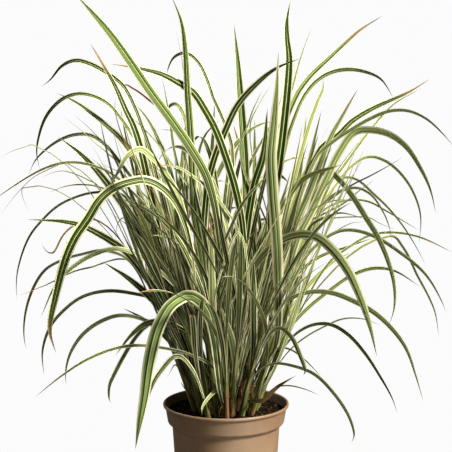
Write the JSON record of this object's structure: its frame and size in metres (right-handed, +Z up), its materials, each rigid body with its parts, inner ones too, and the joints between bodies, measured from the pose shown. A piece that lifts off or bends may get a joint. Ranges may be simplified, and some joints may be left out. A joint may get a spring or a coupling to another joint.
{
  "type": "potted ornamental grass",
  "caption": "Clump of tall arching variegated grass growing from peat in a round plastic nursery pot with a stepped rim band.",
  "frame": {"origin": "centre of the pot's flat base, on the surface that it stands on", "axes": "+Z up out of the pot; the front of the clump, as pictured, faces -Y; +X is the viewer's right"},
  "size_m": [0.7221, 0.6524, 0.7582],
  "materials": {
    "pot_plastic": "taupe-brown moulded plastic, satin",
    "peat": null,
    "leaf": null
  },
  "bodies": {
    "root": {"pot": "pot_plastic", "soil": "peat", "leafy_stem_01": "leaf", "leafy_stem_02": "leaf", "leafy_stem_03": "leaf", "leafy_stem_04": "leaf", "leafy_stem_05": "leaf", "leafy_stem_06": "leaf", "leafy_stem_07": "leaf", "leafy_stem_08": "leaf", "leafy_stem_09": "leaf", "leafy_stem_10": "leaf", "leafy_stem_11": "leaf", "leafy_stem_12": "leaf", "leafy_stem_13": "leaf", "leafy_stem_14": "leaf", "leafy_stem_15": "leaf", "leafy_stem_16": "leaf", "leafy_stem_17": "leaf", "leafy_stem_18": "leaf", "leafy_stem_19": "leaf", "leafy_stem_20": "leaf", "leafy_stem_21": "leaf", "leafy_stem_22": "leaf", "leafy_stem_23": "leaf", "leafy_stem_24": "leaf", "leafy_stem_25": "leaf", "leafy_stem_26": "leaf", "leafy_stem_27": "leaf", "leafy_stem_28": "leaf", "leafy_stem_29": "leaf", "leafy_stem_30": "leaf", "leafy_stem_31": "leaf", "leafy_stem_32": "leaf", "leafy_stem_33": "leaf", "leafy_stem_34": "leaf", "leafy_stem_35": "leaf", "leafy_stem_36": "leaf", "leafy_stem_37": "leaf", "leafy_stem_38": "leaf", "leafy_stem_39": "leaf", "leafy_stem_40": "leaf", "leafy_stem_41": "leaf", "leafy_stem_42": "leaf", "leafy_stem_43": "leaf", "leafy_stem_44": "leaf"}
  },
  "joints": []
}
